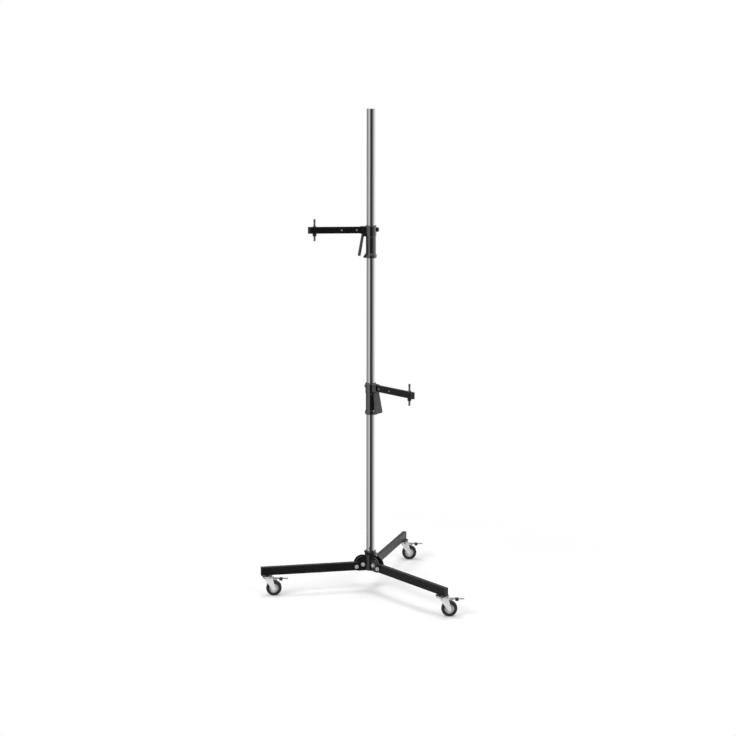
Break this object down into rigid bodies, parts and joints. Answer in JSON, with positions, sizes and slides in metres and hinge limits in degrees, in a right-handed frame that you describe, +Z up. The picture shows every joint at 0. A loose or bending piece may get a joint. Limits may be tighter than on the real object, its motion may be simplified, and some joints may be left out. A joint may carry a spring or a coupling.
{
  "type": "rolling column stand for studio lights",
  "caption": "Chrome column on a folding tripod base with braked swivel casters, carrying sliding clamps with level arms, squeeze levers and studs for lamp heads.",
  "frame": {"origin": "point on the floor under the column's axis", "axes": "+Z up along the column, +Y along the rear leg, with the other two legs at 120 degrees to each side"},
  "size_m": [0.9729, 0.803, 2.23],
  "materials": {
    "chrome_column": "polished chrome plate on steel tube",
    "black_hub": "gloss black powder coat on a casting",
    "black_legs": "satin black powder coat on steel tube",
    "black_clamp": "semi-gloss black paint on a casting",
    "grey_lever": "satin dark grey on pressed steel",
    "zinc": "bright zinc plate on pressed steel",
    "bright_bolts": "bright plated steel",
    "dark_steel": "dark oiled steel",
    "stud_steel": "turned steel, dulled",
    "black_plastic": "moulded black plastic",
    "bush_plastic": "smooth black nylon",
    "wheel_grey": "moulded pale grey plastic",
    "tyre": "smooth black rubber tread"
  },
  "bodies": {
    "base": {"hub_casting": "black_hub", "column_tube": "chrome_column", "column_plug": "black_plastic", "pivot_fasteners": "bright_bolts"},
    "wing": {"wing_screw": "black_hub"},
    "rear_leg": {"rear_leg_tube": "black_legs", "rear_leg_knuckle": "black_legs", "rear_leg_end_cap": "black_plastic", "rear_leg_fasteners": "bright_bolts", "rear_caster_plate": "zinc"},
    "rear_swivel": {"rear_caster_fork": "zinc", "rear_fork_pins": "zinc"},
    "rear_wheel": {"rear_tyre": "tyre", "rear_wheel_rim": "wheel_grey"},
    "rear_brake": {"rear_brake_pedal": "zinc", "rear_pedal_cap": "black_plastic"},
    "left_leg": {"left_leg_tube": "black_legs", "left_leg_knuckle": "black_legs", "left_leg_end_cap": "black_plastic", "left_leg_fasteners": "bright_bolts", "left_caster_plate": "zinc"},
    "left_swivel": {"left_caster_fork": "zinc", "left_fork_pins": "zinc"},
    "left_wheel": {"left_tyre": "tyre", "left_wheel_rim": "wheel_grey"},
    "left_brake": {"left_brake_pedal": "zinc", "left_pedal_cap": "black_plastic"},
    "right_leg": {"right_leg_tube": "black_legs", "right_leg_knuckle": "black_legs", "right_leg_end_cap": "black_plastic", "right_leg_fasteners": "bright_bolts", "right_caster_plate": "zinc"},
    "right_swivel": {"right_caster_fork": "zinc", "right_fork_pins": "zinc"},
    "right_wheel": {"right_tyre": "tyre", "right_wheel_rim": "wheel_grey"},
    "right_brake": {"right_brake_pedal": "zinc", "right_pedal_cap": "black_plastic"},
    "upper_slider": {"upper_slide_bushes": "bush_plastic"},
    "upper_clamp": {"upper_clamp_housing": "black_clamp", "upper_arm_tube": "black_clamp", "upper_arm_cap": "black_plastic", "upper_arm_bolts": "dark_steel", "upper_lever_pin": "dark_steel", "upper_lever_springs": "dark_steel", "upper_stud": "stud_steel"},
    "upper_lever": {"upper_squeeze_lever": "grey_lever"},
    "upper_nut": {"upper_stud_nut": "black_plastic"},
    "upper_knob": {"upper_tension_knob": "black_plastic"},
    "lower_slider": {"lower_slide_bushes": "bush_plastic"},
    "lower_clamp": {"lower_clamp_housing": "black_clamp", "lower_arm_tube": "black_clamp", "lower_arm_cap": "black_plastic", "lower_arm_bolts": "dark_steel", "lower_lever_pin": "dark_steel", "lower_lever_springs": "dark_steel", "lower_stud": "stud_steel"},
    "lower_lever": {"lower_squeeze_lever": "grey_lever"},
    "lower_nut": {"lower_stud_nut": "black_plastic"},
    "lower_knob": {"lower_tension_knob": "black_plastic"}
  },
  "joints": [
    {"name": "wing_screw_turn", "type": "hinge", "parent": "base", "child": "wing", "pos_m": [0.00434, -0.02462, 0.1835], "axis": [0.1736, -0.9848, 0], "continuous": true},
    {"name": "rear_leg_fold", "type": "hinge", "parent": "base", "child": "rear_leg", "pos_m": [0, 0.0395, 0.127], "axis": [1, 0, 0], "range_deg": [0, 90]},
    {"name": "rear_caster_swivel", "type": "hinge", "parent": "rear_leg", "child": "rear_swivel", "pos_m": [0, 0.49, 0.0855], "axis": [0, 0, 1], "continuous": true},
    {"name": "rear_wheel_spin", "type": "hinge", "parent": "rear_swivel", "child": "rear_wheel", "pos_m": [0.0302, 0.50058, 0.036], "axis": [-0.3305, 0.9438, 0], "continuous": true},
    {"name": "rear_brake_press", "type": "hinge", "parent": "rear_swivel", "child": "rear_brake", "pos_m": [0.01888, 0.49661, 0.077], "axis": [-0.3305, 0.9438, 0], "range_deg": [0, 8]},
    {"name": "left_leg_fold", "type": "hinge", "parent": "base", "child": "left_leg", "pos_m": [-0.03421, -0.01975, 0.127], "axis": [-0.5, 0.866, 0], "range_deg": [0, 90]},
    {"name": "left_caster_swivel", "type": "hinge", "parent": "left_leg", "child": "left_swivel", "pos_m": [-0.42435, -0.245, 0.0855], "axis": [0, 0, 1], "continuous": true},
    {"name": "left_wheel_spin", "type": "hinge", "parent": "left_swivel", "child": "left_wheel", "pos_m": [-0.39415, -0.23442, 0.036], "axis": [-0.3305, 0.9438, 0], "continuous": true},
    {"name": "left_brake_press", "type": "hinge", "parent": "left_swivel", "child": "left_brake", "pos_m": [-0.40548, -0.23839, 0.077], "axis": [-0.3305, 0.9438, 0], "range_deg": [0, 8]},
    {"name": "right_leg_fold", "type": "hinge", "parent": "base", "child": "right_leg", "pos_m": [0.03421, -0.01975, 0.127], "axis": [-0.5, -0.866, 0], "range_deg": [0, 90]},
    {"name": "right_caster_swivel", "type": "hinge", "parent": "right_leg", "child": "right_swivel", "pos_m": [0.42435, -0.245, 0.0855], "axis": [0, 0, 1], "continuous": true},
    {"name": "right_wheel_spin", "type": "hinge", "parent": "right_swivel", "child": "right_wheel", "pos_m": [0.45455, -0.23442, 0.036], "axis": [-0.3305, 0.9438, 0], "continuous": true},
    {"name": "right_brake_press", "type": "hinge", "parent": "right_swivel", "child": "right_brake", "pos_m": [0.44323, -0.23839, 0.077], "axis": [-0.3305, 0.9438, 0], "range_deg": [0, 8]},
    {"name": "upper_clamp_slide", "type": "slide", "parent": "base", "child": "upper_slider", "axis": [0, 0, 1], "range_m": [-0.5734, 0.5132]},
    {"name": "upper_clamp_turn", "type": "hinge", "parent": "upper_slider", "child": "upper_clamp", "pos_m": [0, 0, 1.638], "axis": [0, 0, 1], "continuous": true},
    {"name": "upper_lever_squeeze", "type": "hinge", "parent": "upper_clamp", "child": "upper_lever", "pos_m": [-0.03081, -0.01437, 1.6685], "axis": [0.4226, -0.9063, 0], "range_deg": [0, 8], "stiffness_Nm_per_rad": 3, "springref_deg": -5.73},
    {"name": "upper_stud_nut_turn", "type": "hinge", "parent": "upper_clamp", "child": "upper_nut", "pos_m": [-0.23111, -0.10777, 1.676], "axis": [0, 0, 1], "continuous": true},
    {"name": "upper_tension_turn", "type": "hinge", "parent": "upper_clamp", "child": "upper_knob", "pos_m": [0.02266, 0.01056, 1.6925], "axis": [0.9063, 0.4226, 0], "continuous": true},
    {"name": "lower_clamp_slide", "type": "slide", "parent": "base", "child": "lower_slider", "axis": [0, 0, 1], "range_m": [-0.644, 0.5734]},
    {"name": "lower_clamp_turn", "type": "hinge", "parent": "lower_slider", "child": "lower_clamp", "pos_m": [0, 0, 0.916], "axis": [0, 0, 1], "continuous": true},
    {"name": "lower_lever_squeeze", "type": "hinge", "parent": "lower_clamp", "child": "lower_lever", "pos_m": [0.03002, -0.01596, 0.9465], "axis": [0.4695, 0.8829, 0], "range_deg": [0, 8], "stiffness_Nm_per_rad": 3, "springref_deg": -5.73},
    {"name": "lower_stud_nut_turn", "type": "hinge", "parent": "lower_clamp", "child": "lower_nut", "pos_m": [0.22515, -0.11972, 0.954], "axis": [0, 0, 1], "continuous": true},
    {"name": "lower_tension_turn", "type": "hinge", "parent": "lower_clamp", "child": "lower_knob", "pos_m": [-0.02207, 0.01174, 0.9705], "axis": [-0.8829, 0.4695, 0], "continuous": true}
  ]
}
